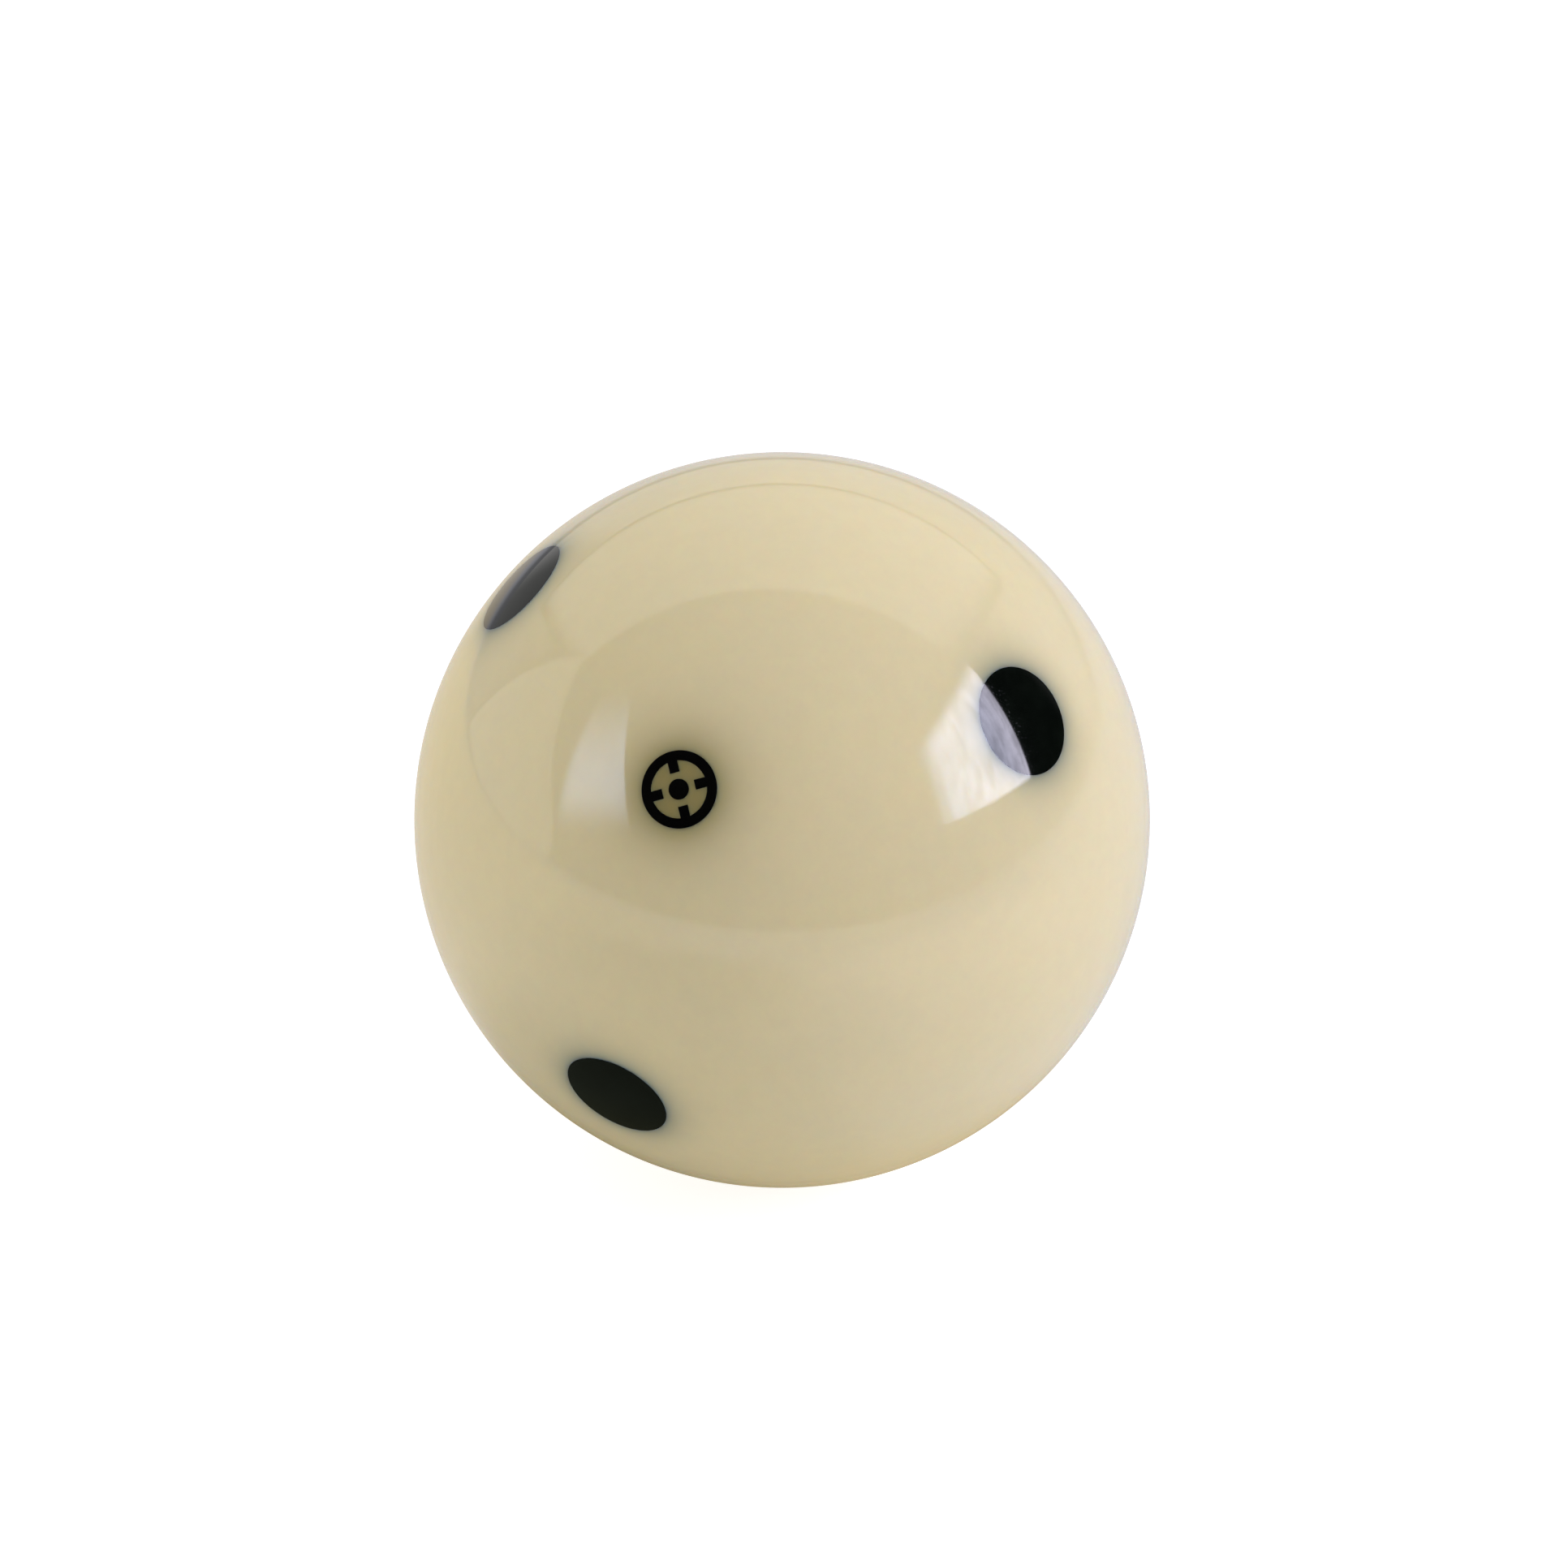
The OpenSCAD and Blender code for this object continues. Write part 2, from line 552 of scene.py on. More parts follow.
@dataclass(frozen=True)
class IvoryBody:
    """The ball less its sockets: eight octants of sphere, six sockets and the mark's grooves.

    An octant's border runs along the great circles between neighbouring spots, and along a
    quarter of each spot's rim. Its grid runs from the octant's middle out to that border.
    """

    spot: SpotPlug
    mark: AimingMark
    rings: int = 40

    @property
    def arc_points(self) -> int:
        """Points between two neighbouring spots, such that the octant matches the mark's count."""
        return self.mark.columns // 3 - self.spot.per_quarter

    def border(self) -> np.ndarray:
        """Unit directions round the first octant's border, from the middle of plug 3's quarter.

        With a the polar angle from an axis and b the angle round it, a third of the border is
        half a rim, (sin a cos b, sin a sin b, cos a) for b from 45 to 0 degrees, then the great
        circle (sin a, 0, cos a) to the next spot, then half of that spot's rim. The other two
        thirds are the same with the coordinates passed on in turn.

        Returns:
            The directions, one in each row.
        """
        a, half_rim = self.spot.polar, self.spot.per_quarter // 2
        b = steps((math.pi / 4, 0, half_rim))
        leaving = np.stack([np.sin(a) * np.cos(b), np.sin(a) * np.sin(b), np.cos(a) + 0 * b], -1)
        t = steps((a, math.pi / 2 - a, self.arc_points))
        crossing = np.stack([np.sin(t), 0 * t, np.cos(t)], axis=-1)
        b = steps((0, math.pi / 4, half_rim))
        entering = np.stack([np.cos(a) + 0 * b, np.sin(a) * np.sin(b), np.sin(a) * np.cos(b)], -1)
        third = np.concatenate([leaving, crossing, entering])
        return np.concatenate([np.roll(third, k, axis=1) for k in range(3)])

    def octant(self, inner_polar: float, inner_azimuth: np.ndarray | None) -> np.ndarray:
        """Grid of one octant, along great circles from its middle out to its border.

        Angles about the middle: polar = p0 + u (p1 - p0) and azimuth = (1 - u) z0 + u z1, where
        (p1, z1) is a border point and (p0, z0) the point inside that it is joined to.

        Args:
            inner_polar: polar angle of the innermost ring in radians, 0 for a closed octant.
            inner_azimuth: azimuths of the innermost ring, or None for the border's own.

        Returns:
            The grid, in metres.
        """
        border = self.border()
        x, y, out = self.mark.axes.T
        polar = np.arccos(border @ out)
        azimuth = np.unwrap(np.arctan2(border @ y, border @ x))
        start = azimuth if inner_azimuth is None else inner_azimuth
        u = np.linspace(0, 1, self.rings + 1)[:, None]
        p = inner_polar + u * (polar - inner_polar)
        z = (1 - u) * start + u * azimuth
        inner = np.stack([np.sin(p) * np.cos(z), np.sin(p) * np.sin(z), np.cos(p)], axis=-1)
        grid = self.mark.turned(inner)
        grid[-1] = border
        return self.spot.ball * grid

    def build(self, lie: Lie) -> bpy.types.Object:
        """Makes the ivory body.

        Args:
            lie: the way that the ball lies.

        Returns:
            The body's object.
        """
        shell = Shell(self.spot.ball)
        edge_polar = math.asin(self.mark.outer / self.spot.ball)
        marked = self.octant(edge_polar, self.mark.rim_azimuth())
        plain = self.octant(0.0, None)
        for octant in range(8):
            signs = np.array([-1 if octant >> axis & 1 else 1 for axis in range(3)])
            grid = marked if octant == 0 else plain
            shell.add(grid * signs, True, flip=bool(signs.prod() < 0))
        socket = revolve(self.spot.shank(), self.spot.azimuth)
        for number in range(1, 7):
            shell.add(self.spot.place(socket, number), False, flip=number <= 3)
        self.mark.let_into(shell)
        return shell.piece("ivory_body", lie)


# ---- Finishes ----


@dataclass
class Recipe:
    """A node tree under construction, with short calls for the nodes that the finishes share."""

    tree: bpy.types.NodeTree

    def node(self, kind: str, **settings: object) -> bpy.types.Node:
        """Adds a node and sets its properties and, by name, its unlinked inputs.

        Args:
            kind: type name of the node.
            settings: values by name of property or input, with _ for a space in the name.

        Returns:
            The new node.
        """
        made = self.tree.nodes.new(kind)
        for name, value in settings.items():
            if hasattr(made, name):
                setattr(made, name, value)
            else:
                made.inputs[name.replace("_", " ")].default_value = value
        return made

    def join(self, source: bpy.types.NodeSocket, target: bpy.types.NodeSocket) -> None:
        """Links an output to an input."""
        self.tree.links.new(source, target)

    def feed(self, value: object, target: bpy.types.NodeSocket) -> None:
        """Links a socket to an input, or sets the input to a plain value.

        Args:
            value: the socket or value.
            target: the input.
        """
        if isinstance(value, bpy.types.NodeSocket):
            self.join(value, target)
        else:
            target.default_value = value

    def maths(self, operation: str, *values: object, clamp: bool = False) -> bpy.types.NodeSocket:
        """One step of arithmetic on numbers or sockets.

        Args:
            operation: name of the step.
            values: what it works on, in order.
            clamp: whether to keep the result between 0 and 1.

        Returns:
            The socket with the result.
        """
        made = self.node("ShaderNodeMath", operation=operation, use_clamp=clamp)
        for value, target in zip(values, made.inputs):
            self.feed(value, target)
        return made.outputs[0]

    def ramp(self, value: object, low: float, high: float, start: float = 0.0,
             end: float = 1.0) -> bpy.types.NodeSocket:
        """Eases from start to end as value goes from low to high.

        Args:
            value: number or socket to follow.
            low, high: where the easing starts and ends.
            start, end: what it gives there.

        Returns:
            The socket with the result.
        """
        made = self.node("ShaderNodeMapRange", interpolation_type="SMOOTHSTEP")
        for number, source in enumerate((value, low, high, start, end)):
            self.feed(source, made.inputs[number])
        return made.outputs[0]

    def blend(self, share: object, a: object, b: object, kind: str = "MIX") -> bpy.types.NodeSocket:
        """Mixes two colours by a share of the second one.

        Args:
            share: how much of the second, from 0 to 1.
            a, b: the colours, plain or from a socket.
            kind: how the second is laid over the first.

        Returns:
            The socket with the mixed colour.
        """
        made = self.node("ShaderNodeMix", data_type="RGBA", blend_type=kind)
        for name, value in (("Factor_Float", share), ("A_Color", a), ("B_Color", b)):
            self.feed(value, next(s for s in made.inputs if s.identifier == name))
        return next(s for s in made.outputs if s.identifier == "Result_Color")

    def noise(self, where: bpy.types.NodeSocket, grain: float, detail: float,
              roughness: float = 0.5) -> bpy.types.NodeSocket:
        """Noise with a grain of that size in metres, from 0 to 1.

        Args:
            where: the coordinates.
            grain: size of a grain.
            detail: how many finer layers are added.
            roughness: how strong the finer layers are.

        Returns:
            The socket with the noise.
        """
        made = self.node("ShaderNodeTexNoise", Scale=1 / grain, Detail=detail, Roughness=roughness)
        self.join(where, made.inputs["Vector"])
        return made.outputs["Fac"]


def blank(block: bpy.types.ID) -> Recipe:
    """Starts an empty node tree in a material or in the world.

    Args:
        block: the material or world.

    Returns:
        The recipe for its tree.
    """
    block.use_nodes = True
    block.node_tree.nodes.clear()
    return Recipe(block.node_tree)


@dataclass(frozen=True)
class Hairlines:
    """Fine scratches that all run one way.

    Attributes:
        turn: how their direction is turned, as angles in degrees.
        length, width: size of a scratch in metres.
        sparse, full: heights of the noise at which a scratch starts and is full, from 0 to 1.
    """

    turn: Vector
    length: float
    width: float
    sparse: float
    full: float

    def draw(self, recipe: Recipe, where: bpy.types.NodeSocket) -> bpy.types.NodeSocket:
        """Noise drawn out along its own X and cut off high: 1 in a scratch, 0 beside it.

        Args:
            recipe: the material's recipe.
            where: the coordinates.

        Returns:
            The socket with the scratches.
        """
        place = recipe.node("ShaderNodeMapping")
        place.inputs["Rotation"].default_value = [math.radians(angle) for angle in self.turn]
        place.inputs["Scale"].default_value = (1 / self.length, 1 / self.width, 1 / self.width)
        recipe.join(where, place.inputs["Vector"])
        lines = recipe.noise(place.outputs[0], 1.0, 1.0)
        return recipe.ramp(lines, self.sparse, self.full)


@dataclass(frozen=True)
class Polish:
    """The ground and buffed surface that every piece shares: haze and a few hairlines.

    Attributes:
        roughness: roughness of the clearest places.
        haze, haze_grain: roughness that cloudy haze adds, and the size of its clouds.
        scratch, scratch_depth: roughness that a hairline adds, and how deep it is.
        lines, cross_lines: hairlines in two directions, as table play leaves them.
    """

    roughness: float = 0.035
    haze: float = 0.02
    haze_grain: float = 6 * MM
    scratch: float = 0.05
    scratch_depth: float = 0.0004 * MM
    lines: Hairlines = Hairlines((20, 35, 10), 6 * MM, 0.10 * MM, 0.71, 0.77)
    cross_lines: Hairlines = Hairlines((-50, 15, 75), 4 * MM, 0.08 * MM, 0.73, 0.79)

    def apply(self, recipe: Recipe, where: bpy.types.NodeSocket, shader: bpy.types.Node) -> None:
        """Drives the shader's roughness and normal.

        Args:
            recipe: the material's recipe.
            where: the coordinates.
            shader: the main shader.
        """
        marks = recipe.maths("MAXIMUM", self.lines.draw(recipe, where),
                             self.cross_lines.draw(recipe, where))
        haze = recipe.noise(where, self.haze_grain, 3.0)
        rough = recipe.maths("MULTIPLY_ADD", haze, self.haze, self.roughness)
        rough = recipe.maths("MULTIPLY_ADD", marks, self.scratch, rough)
        recipe.join(rough, shader.inputs["Roughness"])
        bump = recipe.node("ShaderNodeBump", Strength=1.0, Distance=self.scratch_depth)
        bump.invert = True
        recipe.join(marks, bump.inputs["Height"])
        recipe.join(bump.outputs[0], shader.inputs["Normal"])


def new_finish(
    name: str,
) -> tuple[bpy.types.Material, Recipe, bpy.types.Node, bpy.types.NodeSocket]:
    """Starts a material that reads Object coordinates.

    Args:
        name: name of the material.

    Returns:
        The material, its recipe, its main shader and the socket with the coordinates.
    """
    material = bpy.data.materials.new(name)
    material.use_nodes = True
    recipe = Recipe(material.node_tree)
    shader = material.node_tree.nodes["Principled BSDF"]
    where = recipe.node("ShaderNodeTexCoord").outputs["Object"]
    return material, recipe, shader, where


@dataclass(frozen=True)
class IvoryResin:
    """Cast ivory resin: warm, faintly clouded, and clear enough that light scatters inside it; the
    buried inlays' shade round each spot and the mark is partly that scattered light and partly
    painted shade in its colour.

    Attributes:
        body, lie: the body that it is for, and how that lies.
        polish: its surface.
        colour, cloud_colour: its own colour, and that of the clouds in it.
        cloud_grain, cloud_edges: size of a cloud, and the noise at which it starts and is full.
        fleck_grain, fleck_edges, fleck_shade: the same for fine flecks, and what they multiply
            the colour by where there is none and where they are full.
        spot_painted_shade, spot_painted_shade_reach: painted shade right beside a spot, the buried
            plug's shade seen through the resin, and how fast it dies away.
        mark_painted_shade, mark_painted_shade_inset, mark_painted_shade_reach: the same painted
        shade
            for the mark, from how far inside its rim.
        radius, depth: how far light of each colour travels inside, as shares and in metres.
        index: refractive index.
    """

    body: IvoryBody
    lie: Lie
    polish: Polish = Polish()
    colour: Colour = (0.825, 0.715, 0.440)
    cloud_colour: Colour = (0.840, 0.725, 0.440)
    cloud_grain: float = 9 * MM
    cloud_edges: tuple[float, float] = (0.35, 0.65)
    fleck_grain: float = 1.4 * MM
    fleck_edges: tuple[float, float] = (0.2, 0.8)
    fleck_shade: tuple[float, float] = (0.985, 1.01)
    # Painted shade: the buried inlays' shade, multiplied into the colour beside each spot and the
    # mark.
    spot_painted_shade: Colour = (0.42, 0.47, 0.56)
    spot_painted_shade_reach: float = 1.1 * MM
    mark_painted_shade: Colour = (0.43, 0.39, 0.25)
    mark_painted_shade_inset: float = 0.3 * MM
    mark_painted_shade_reach: float = 1.75 * MM
    radius: Colour = (1.0, 0.72, 0.42)
    depth: float = 2.2 * MM
    index: float = 1.60

    def cosine(self, recipe: Recipe, where: bpy.types.NodeSocket,
               axis: np.ndarray) -> bpy.types.NodeSocket:
        """Cosine of the angle between a point's direction and an axis.

        Args:
            recipe: the material's recipe.
            where: the coordinates.
            axis: the axis, of length 1.

        Returns:
            The socket with the cosine.
        """
        unit = recipe.node("ShaderNodeVectorMath", operation="NORMALIZE")
        recipe.join(where, unit.inputs[0])
        along = recipe.node("ShaderNodeVectorMath", operation="DOT_PRODUCT")
        recipe.join(unit.outputs[0], along.inputs[0])
        along.inputs[1].default_value = axis
        return along.outputs["Value"]

    def spot_cosine(self, recipe: Recipe, where: bpy.types.NodeSocket) -> bpy.types.NodeSocket:
        """The cosine for the nearest spot: the largest for any spot's axis, either way.

        Args:
            recipe: the material's recipe.
            where: the coordinates.

        Returns:
            The socket with the cosine.
        """
        nearest = 0.0
        for axis in self.lie.spot_axes(self.lie.drift).T:
            cosine = recipe.maths("ABSOLUTE", self.cosine(recipe, where, axis))
            nearest = recipe.maths("MAXIMUM", cosine, nearest)
        return nearest

    def beside(self, recipe: Recipe, cosine: bpy.types.NodeSocket, edge: float,
               reach: float) -> bpy.types.NodeSocket:
        """Share of the painted shade beside an inlay: exp(-d / reach), with d the distance outside
        its edge.

        Args:
            recipe: the material's recipe.
            cosine: cosine of the angle from the inlay's axis.
            edge: distance over the surface from that axis to the edge, in metres.
            reach: how fast the painted shade dies away, in metres.

        Returns:
            The socket with the share.
        """
        away = recipe.maths("MULTIPLY", recipe.maths("ARCCOSINE", cosine), self.body.spot.ball)
        outside = recipe.maths("MAXIMUM", recipe.maths("SUBTRACT", away, edge), 0.0)
        return recipe.maths("EXPONENT", recipe.maths("DIVIDE", outside, -reach))

    def make(self) -> bpy.types.Material:
        """Builds the material.

        Returns:
            The material.
        """
        material, recipe, shader, where = new_finish("ivory_resin_finish")
        clouds = recipe.ramp(recipe.noise(where, self.cloud_grain, 3.0), *self.cloud_edges)
        ivory = recipe.blend(clouds, (*self.colour, 1), (*self.cloud_colour, 1))
        flecks = recipe.noise(where, self.fleck_grain, 4.0, 0.6)
        shade = recipe.ramp(flecks, *self.fleck_edges, *self.fleck_shade)
        ivory = recipe.blend(1.0, ivory, shade, "MULTIPLY")
        # Painted shade round each spot and round the mark, multiplied into the base colour.
        spots = self.spot_cosine(recipe, where)
        share = self.beside(recipe, spots, self.body.spot.radius, self.spot_painted_shade_reach)
        ivory = recipe.blend(share, ivory, (*self.spot_painted_shade, 1), "MULTIPLY")
        mark = self.cosine(recipe, where, self.lie.mark_frame()[:, 2])
        edge = self.body.mark.outer - self.mark_painted_shade_inset
        share = self.beside(recipe, mark, edge, self.mark_painted_shade_reach)
        ivory = recipe.blend(share, ivory, (*self.mark_painted_shade, 1), "MULTIPLY")
        recipe.join(ivory, shader.inputs["Base Color"])
        shader.subsurface_method = "RANDOM_WALK"
        shader.inputs["Subsurface Weight"].default_value = 1.0
        shader.inputs["Subsurface Radius"].default_value = self.radius
        shader.inputs["Subsurface Scale"].default_value = self.depth
        shader.inputs["IOR"].default_value = self.index
        self.polish.apply(recipe, where, shader)
        return material


@dataclass(frozen=True)
class InlayResin:
    """Cast dark resin of the plugs or of the mark: one deep colour with faint clouds in it."""

    name: str
    colour: Colour
    cloud_colour: Colour
    polish: Polish = Polish(roughness=0.03)
    cloud_grain: float = 2.5 * MM
    cloud_edges: tuple[float, float] = (0.35, 0.70)
    index: float = 1.60

    def make(self) -> bpy.types.Material:
        """Builds the material.

        Returns:
            The material.
        """
        material, recipe, shader, where = new_finish(self.name)
        clouds = recipe.ramp(recipe.noise(where, self.cloud_grain, 4.0, 0.6), *self.cloud_edges)
        colour = recipe.blend(clouds, (*self.colour, 1), (*self.cloud_colour, 1))
        recipe.join(colour, shader.inputs["Base Color"])
        shader.inputs["IOR"].default_value = self.index
        self.polish.apply(recipe, where, shader)
        return material


# ---- Studio ----


@dataclass(frozen=True)
class SoftBox:
    """A flat diffuser that glows on the side that faces the ball.

    Attributes:
        name: name of the object.
        corners: its four corners in metres, in order round it, (0, 0), (1, 0), (1, 1) and (0, 1)
            on its own two axes u and v.
        colour: colour of its light at u = 0, times its radiance there.
        far_colour: the same at u = 1.
        fade: how far the light dies away from its edges u = 0, u = 1, v = 0 and v = 1, as shares
            of its width and height.
        crease: how much the folds in its cloth, which run along v, change its light.
        folds: how many grains of that pattern lie along u and along v.
        fold_edges: the noise at which a fold is darkest and lightest.
    """

    name: str
    corners: tuple[Vector, Vector, Vector, Vector]
    colour: Colour
    far_colour: Colour
    fade: tuple[float, float, float, float] = (0.02, 0.02, 0.02, 0.02)
    crease: float = 0.0
    folds: tuple[float, float] = (16.0, 4.0)
    fold_edges: tuple[float, float] = (0.3, 0.7)

    def mesh(self) -> bpy.types.Mesh:
        """One quad that faces the ball, with its own UV map.

        Returns:
            The mesh.
        """
        places = np.array(self.corners)
        uv = [(0, 0), (1, 0), (1, 1), (0, 1)]
        normal = np.cross(places[1] - places[0], places[3] - places[0])
        order = [0, 1, 2, 3] if normal @ places.mean(0) < 0 else [3, 2, 1, 0]
        mesh = bpy.data.meshes.new(self.name)
        mesh.from_pydata(places.tolist(), [], [order])
        layer = mesh.uv_layers.new(name="panel")
        layer.data.foreach_set("uv", np.array([uv[i] for i in order], dtype=float).ravel())
        return mesh

    def material(self) -> bpy.types.Material:
        """Light from the front side only, dying away towards each edge.

        Returns:
            The material.
        """
        material = bpy.data.materials.new(f"{self.name}_glow")
        recipe = blank(material)
        split = recipe.node("ShaderNodeSeparateXYZ")
        panel = recipe.node("ShaderNodeTexCoord").outputs["UV"]
        recipe.join(panel, split.inputs[0])
        u, v = split.outputs[0], split.outputs[1]
        behind = recipe.node("ShaderNodeNewGeometry").outputs["Backfacing"]
        level = recipe.maths("SUBTRACT", 1.0, behind)
        for place, start, end in ((u, *self.fade[:2]), (v, *self.fade[2:])):
            rise = recipe.ramp(place, 0.0, start)
            fall = recipe.ramp(place, 1 - end, 1.0, 1.0, 0.0)
            level = recipe.maths("MULTIPLY", level, recipe.maths("MULTIPLY", rise, fall))
        cloth = recipe.node("ShaderNodeMapping")
        cloth.inputs["Scale"].default_value = (*self.folds, 1.0)
        recipe.join(panel, cloth.inputs["Vector"])
        folds = recipe.noise(cloth.outputs[0], 1.0, 3.0, 0.6)
        folds = recipe.ramp(folds, *self.fold_edges, 1 - self.crease, 1 + self.crease)
        level = recipe.maths("MULTIPLY", level, folds)
        lamp = recipe.node("ShaderNodeEmission")
        tint = recipe.blend(u, (*self.colour, 1), (*self.far_colour, 1))
        recipe.join(tint, lamp.inputs["Color"])
        recipe.join(level, lamp.inputs["Strength"])
        recipe.join(lamp.outputs[0], recipe.node("ShaderNodeOutputMaterial").inputs["Surface"])
        return material

    def build(self) -> None:
        """Hangs the panel. The camera doesn't see it, but the ball does."""
        panel = linked(self.name, self.mesh())
        panel.data.materials.append(self.material())
        panel.visible_camera = False
        panel.visible_shadow = False


@dataclass(frozen=True)
class Pool:
    """A round patch of painted light or shade that polished surfaces mirror on the table top.

    Attributes:
        middle: x and y of its middle.
        full, end: distances from there to where it starts to fade and to where it is gone.
        colour: its painted colour.
    """

    middle: tuple[float, float]
    full: float
    end: float
    colour: Colour


@dataclass(frozen=True)
class Floor:
    """A plain pale table top under the ball.

    Attributes:
        level: height of its top.
        left, right, front, back: its edges.
        colour: its matt colour.
        lift: light that it adds towards the camera, so that it reads as white.
        glow: light that it adds towards matt surfaces.
        mirror: what polished surfaces mirror of it far from the ball.
        pools: what they mirror nearer, each over the ones before: the light round the ball, the
            side card's light at the left, the unlit front, the key's sheen, and the ball's shadow.
        warmth: tint of the light between ball and floor, round the contact point.
    """

    level: float
    left: float = -1.2
    right: float = 1.2
    front: float = -0.62
    back: float = 1.6
    colour: Colour = (0.55, 0.55, 0.55)
    lift: float = 0.76
    glow: float = 0.36
    mirror: Colour = (0.33, 0.33, 0.35)
    pools: tuple[Pool, ...] = (
        Pool((0.0, 0.0), 0.36, 0.80, (0.64, 0.64, 0.70)),
        Pool((-0.35, 0.05), 0.20, 0.42, (0.86, 0.72, 0.46)),
        Pool((-0.050, -0.095), 0.025, 0.110, (0.26, 0.25, 0.20)),
        Pool((0.110, -0.100), 0.040, 0.140, (1.25, 1.12, 1.00)),
        Pool((-0.026, -0.026), 0.010, 0.042, (0.070, 0.080, 0.055)),
    )
    warmth: Pool = Pool((0.0, 0.0), 0.016, 0.034, (0.86, 0.72, 0.42))

    def lay(self, recipe: Recipe, pool: Pool, under: object, kind: str) -> bpy.types.NodeSocket:
        """Lays a pool over the colour under it.

        Args:
            recipe: the material's recipe.
            pool: the pool.
            under: colour or socket under it.
            kind: how the two blend.

        Returns:
            The blended colour.
        """
        away = recipe.node("ShaderNodeVectorMath", operation="DISTANCE")
        recipe.join(recipe.node("ShaderNodeTexCoord").outputs["Object"], away.inputs[0])
        away.inputs[1].default_value = (*pool.middle, self.level)
        share = recipe.ramp(away.outputs["Value"], pool.full, pool.end, 1.0, 0.0)
        return recipe.blend(share, under, (*pool.colour, 1), kind)

    def material(self) -> bpy.types.Material:
        """Matt white to the camera and to matt light, and the mirror colours to mirror rays.

        Returns:
            The material.
        """
        material = bpy.data.materials.new("pale_floor")
        recipe = blank(material)
        path = recipe.node("ShaderNodeLightPath").outputs
        lift = recipe.maths("MULTIPLY", path["Is Camera Ray"], self.lift)
        glow = recipe.maths("MULTIPLY", path["Is Diffuse Ray"], self.glow)
        lamp = recipe.node("ShaderNodeEmission", Color=(1, 1, 1, 1))
        recipe.join(recipe.maths("ADD", lift, glow), lamp.inputs["Strength"])
        matt = recipe.node("ShaderNodeBsdfDiffuse", Color=(*self.colour, 1))
        lit = recipe.node("ShaderNodeAddShader")
        recipe.join(matt.outputs[0], lit.inputs[0])
        recipe.join(lamp.outputs[0], lit.inputs[1])
        seen = (*self.mirror, 1)
        for pool in self.pools:
            seen = self.lay(recipe, pool, seen, "MIX")
        seen = self.lay(recipe, self.warmth, seen, "MULTIPLY")
        mirrored = recipe.node("ShaderNodeEmission")
        recipe.join(seen, mirrored.inputs["Color"])
        either = recipe.node("ShaderNodeMixShader")
        recipe.join(path["Is Glossy Ray"], either.inputs[0])
        recipe.join(lit.outputs[0], either.inputs[1])
        recipe.join(mirrored.outputs[0], either.inputs[2])
        recipe.join(either.outputs[0], recipe.node("ShaderNodeOutputMaterial").inputs["Surface"])
        return material

    def build(self) -> None:
        """Lays the floor."""
        mesh = bpy.data.meshes.new("floor")
        corners = [(self.left, self.front), (self.right, self.front), (self.right, self.back),
                   (self.left, self.back)]
        mesh.from_pydata([(x, y, self.level) for x, y in corners], [], [(0, 1, 2, 3)])
        mesh.materials.append(self.material())
        linked("floor", mesh)


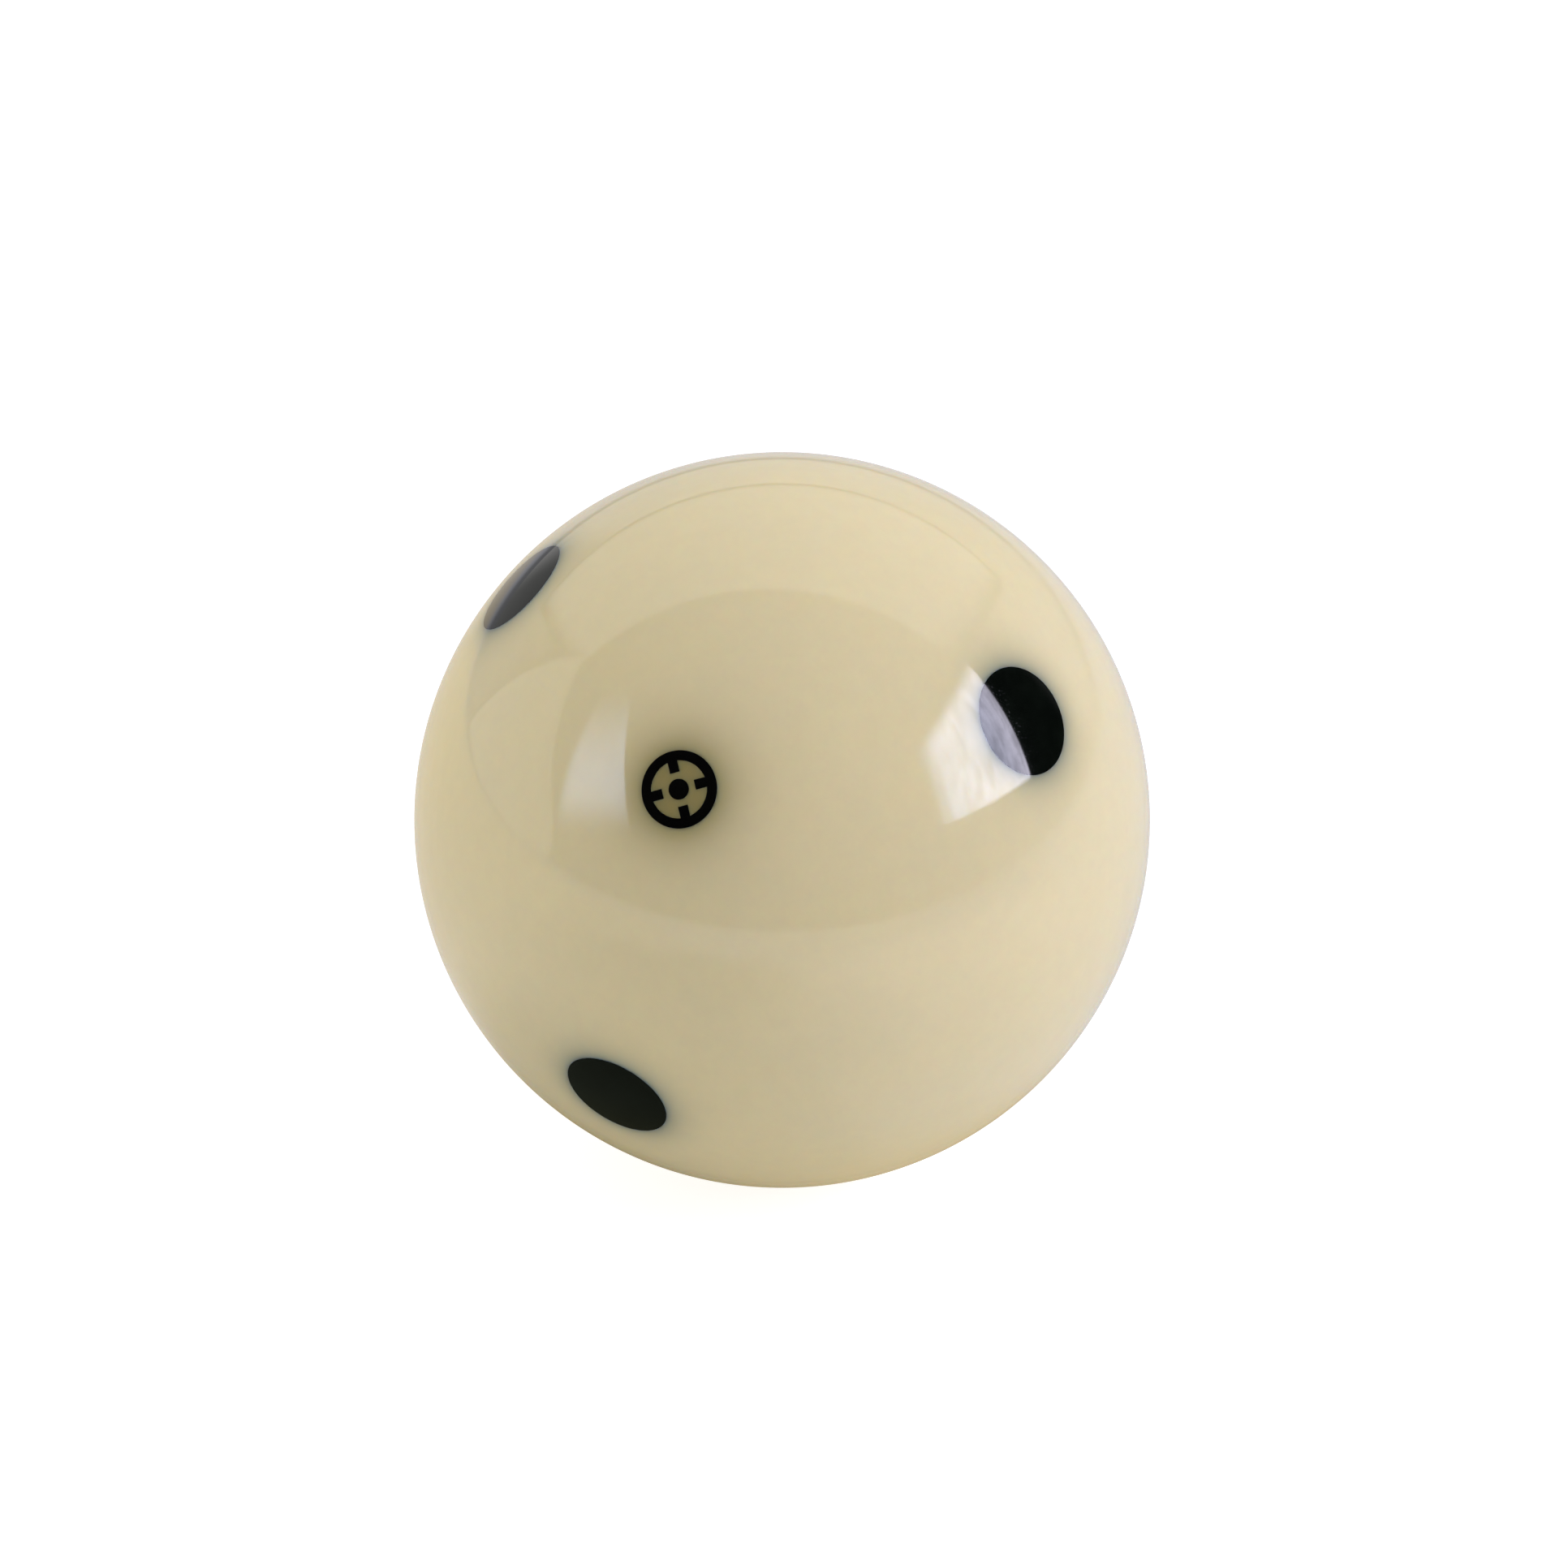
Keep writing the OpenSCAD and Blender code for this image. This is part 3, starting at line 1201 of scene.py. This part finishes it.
@dataclass(frozen=True)
class Studio:
    """Room, table and soft boxes round the ball.

    Attributes:
        floor: the table top.
        room: what the ball mirrors of the room in front of it.
        backdrop: what it mirrors of the backdrop behind it.
        backdrop_edge: where the backdrop starts and is full, as the Y of a direction.
        left_dim, left_edge: share of its light past its left end, and where it dims, as the X of
            a direction.
        right_dim, right_edge: the same for its right end.
        ambient_front, ambient_back: soft light on matt surfaces from the front and from the back.
        ambient_top: what is added to it straight above.
    """

    floor: Floor
    room: Colour = (0.010, 0.013, 0.010)
    backdrop: Colour = (0.66, 0.65, 0.64)
    backdrop_edge: tuple[float, float] = (0.35, 0.60)
    left_dim: float = 0.50
    left_edge: tuple[float, float] = (-0.52, -0.36)
    right_dim: float = 0.76
    right_edge: tuple[float, float] = (0.10, 0.50)
    ambient_front: Colour = (0.036, 0.036, 0.032)
    ambient_back: Colour = (1.07, 1.07, 1.07)
    ambient_top: float = 0.47
    key: SoftBox = SoftBox(
        "key_soft_box",
        ((0.61, -0.46, 0.65), (0.73, 0.15, 0.66), (0.97, -0.03, 0.20), (0.73, -0.62, 0.30)),
        (2.2, 3.2, 5.4), (6.6, 6.3, 7.6), (0.26, 0.02, 0.16, 0.06), crease=0.24,
    )
    fill: SoftBox = SoftBox(
        "fill_soft_box",
        ((-0.74, 0.01, 0.67), (-0.64, -0.09, 0.76), (-0.71, -0.64, 0.28), (-0.95, -0.28, 0.08)),
        (1.5, 1.9, 2.8), (2.6, 3.0, 4.2), (0.14, 0.05, 0.60, 0.34),
    )
    side: SoftBox = SoftBox(
        "side_card",
        ((-0.76, 0.24, 0.62), (-0.97, -0.31, 0.10), (-1.02, -0.30, -0.03), (-0.84, 0.58, -0.03)),
        (0.72, 0.68, 0.60), (0.72, 0.68, 0.60), (0.02, 0.02, 0.06, 0.005),
    )
    overhead: SoftBox = SoftBox(
        "overhead_soft_box",
        ((-0.94, 0.22, 0.66), (0.72, 0.10, 0.72), (0.80, 0.95, 0.42), (-0.95, 0.95, 0.40)),
        (0.72, 0.70, 0.67), (0.72, 0.70, 0.67), (0.10, 0.10, 0.03, 0.08),
    )

    def world(self) -> bpy.types.World:
        """White to the camera, even light to matt surfaces, and the room to mirror ones.

        Returns:
            The world.
        """
        world = bpy.data.worlds.new("studio_room")
        recipe = blank(world)
        path = recipe.node("ShaderNodeLightPath").outputs
        split = recipe.node("ShaderNodeSeparateXYZ")
        recipe.join(recipe.node("ShaderNodeTexCoord").outputs["Generated"], split.inputs[0])
        behind = recipe.ramp(split.outputs[1], *self.backdrop_edge)
        left = recipe.ramp(split.outputs[0], *self.left_edge, self.left_dim, 1.0)
        right = recipe.ramp(split.outputs[0], *self.right_edge, 1.0, self.right_dim)
        behind = recipe.maths("MULTIPLY", behind, recipe.maths("MULTIPLY", left, right))
        mirrored = recipe.blend(behind, (*self.room, 1), (*self.backdrop, 1))
        depth = recipe.maths("MULTIPLY_ADD", split.outputs[1], 0.5, 0.5)
        soft = recipe.blend(depth, (*self.ambient_front, 1), (*self.ambient_back, 1))
        above = recipe.maths("MULTIPLY", split.outputs[2], self.ambient_top, clamp=True)
        soft = recipe.blend(above, soft, (1, 1, 1, 1), "ADD")
        colour = recipe.blend(path["Is Glossy Ray"], soft, mirrored)
        colour = recipe.blend(path["Is Camera Ray"], colour, (1, 1, 1, 1))
        back = recipe.node("ShaderNodeBackground")
        recipe.join(colour, back.inputs["Color"])
        recipe.join(back.outputs[0], recipe.node("ShaderNodeOutputWorld").inputs["Surface"])
        return world

    def build(self) -> None:
        """Sets up the room's light, the floor and the soft boxes."""
        self.floor.build()
        for box in (self.key, self.fill, self.side, self.overhead):
            box.build()
        scene = bpy.context.scene
        scene.world = self.world()
        scene.view_settings.view_transform = "Standard"


@dataclass(frozen=True)
class View:
    """The camera: a long lens that looks down at the ball from the front.

    Attributes:
        distance: how far it is from the ball's centre, in metres.
        elevation: how far above the ball's equator, in degrees.
        lens, sensor: focal length and sensor width, in millimetres.
        shift: how far the picture is shifted, as shares of the sensor.
        near: nothing nearer than this is seen, in metres.
    """

    distance: float
    elevation: float = 30.3
    lens: float = 92.55
    sensor: float = 36.0
    shift: tuple[float, float] = (0.0012, 0.0229)
    near: float = 0.01

    def build(self) -> None:
        """Places the camera on a circle about the ball's centre, facing that centre."""
        camera = bpy.data.cameras.new("camera")
        camera.lens = self.lens
        camera.sensor_width = self.sensor
        camera.shift_x, camera.shift_y = self.shift
        camera.clip_start = self.near
        eye = linked("camera", camera)
        up = math.radians(self.elevation)
        eye.location = (0.0, -self.distance * math.cos(up), self.distance * math.sin(up))
        eye.rotation_euler = (math.pi / 2 - up, 0.0, 0.0)
        bpy.context.scene.camera = eye


# ---- The whole ball ----


@dataclass
class CueBall:
    """The ball's nine pieces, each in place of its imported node."""

    radius: float
    lie: Lie = Lie()
    spot_resin: InlayResin = InlayResin(
        "spot_resin_finish", (0.0015, 0.0022, 0.0016), (0.0030, 0.0042, 0.0030)
    )
    mark_resin: InlayResin = InlayResin(
        "mark_resin_finish", (0.0010, 0.0008, 0.0009), (0.0020, 0.0016, 0.0015)
    )

    def dress(self, piece: bpy.types.Object, node: str,
              material: bpy.types.Material) -> None:
        """Gives a piece its finish and its place in the frame, and reports it.

        Args:
            piece: the finished mesh object.
            node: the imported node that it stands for.
            material: its finish.
        """
        piece.data.materials.append(material)
        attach(piece, BODY)
        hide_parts(node)
        low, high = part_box(node)
        places = np.empty(len(piece.data.vertices) * 3, np.float32)
        piece.data.vertices.foreach_get("co", places)
        places = places.reshape(-1, 3)
        gap = max(np.abs(places.min(0) - low).max(), np.abs(places.max(0) - high).max())
        LOG.info("%s: %d faces, box within %.3f mm of %s", piece.name,
                 len(piece.data.polygons), gap / MM, node)

    def build(self) -> None:
        """Makes the body, the six plugs and the mark."""
        lie = self.lie
        spot, mark = SpotPlug(self.radius), AimingMark(self.radius)
        body = IvoryBody(spot, mark)
        self.dress(body.build(lie), "ball_body", IvoryResin(body, lie).make())
        finish = self.spot_resin.make()
        for number in range(1, 7):
            self.dress(spot.build(number, lie), f"spot_plug_{number}", finish)
        finish = self.mark_resin.make()
        self.dress(mark.build_ring(lie), "mark_ring", finish)
        self.dress(mark.build_dot(lie), "mark_dot", finish)


def main() -> None:
    """Builds the ball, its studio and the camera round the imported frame."""
    logging.basicConfig(level=logging.INFO, format="%(message)s")
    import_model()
    low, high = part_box("ball_body")
    radius = (high.z - low.z) / 2
    LOG.info("ball: radius %.3f mm", radius / MM)
    CueBall(radius).build()
    Studio(Floor(level=low.z)).build()
    View(distance=VIEW_RADII * radius).build()


if __name__ == "__main__":
    main()
